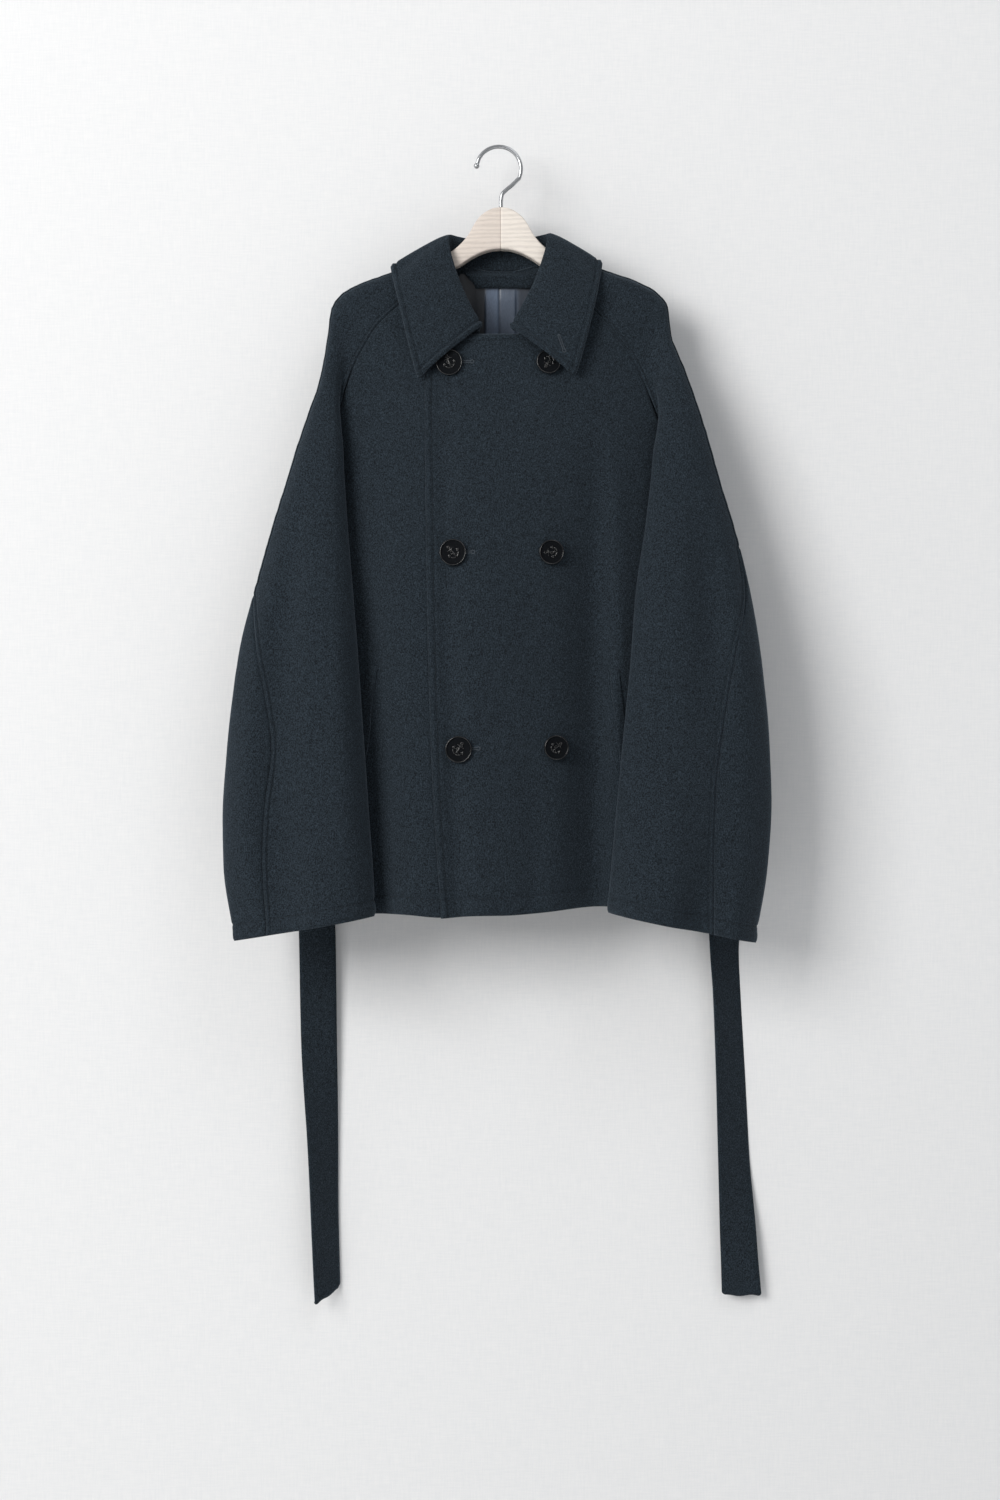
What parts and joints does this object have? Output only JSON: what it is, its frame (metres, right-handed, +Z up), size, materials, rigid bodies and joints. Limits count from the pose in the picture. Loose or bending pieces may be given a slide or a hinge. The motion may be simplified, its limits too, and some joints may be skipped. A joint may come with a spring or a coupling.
{
  "type": "pea coat on a hanger",
  "caption": "Short wide double-breasted wool coat with raglan sleeves, turn-down collar and a tie belt, hanging flat on a wooden hanger with a wire hook.",
  "frame": {"origin": "inner top of the hanger's hook, where a pin or rail carries it", "axes": "+Z up, the coat's front faces -Y, the viewer's right is +X"},
  "size_m": [0.6037, 0.161, 1.3053],
  "materials": {
    "melton": "fulled wool melton, short nap",
    "lining": "satin lining",
    "button": "glossy black resin",
    "beech": "bare pale beech",
    "hook_steel": "satin wire"
  },
  "bodies": {
    "root": {"right_front": "melton", "left_front": "melton", "back": "melton", "sleeve_front_left": "melton", "sleeve_back_left": "melton", "sleeve_front_right": "melton", "sleeve_back_right": "melton", "collar": "melton", "back_neck_facing": "melton", "back_lining": "lining", "pocket_welt_left": "melton", "pocket_welt_right": "melton", "belt": "melton", "belt_loop_left": "melton", "belt_loop_right": "melton", "button_1": "button", "button_2": "button", "button_3": "button", "button_4": "button", "button_5": "button", "button_6": "button", "hanger_arm_left": "beech", "hanger_arm_right": "beech", "hanger_hook": "hook_steel"}
  },
  "joints": []
}
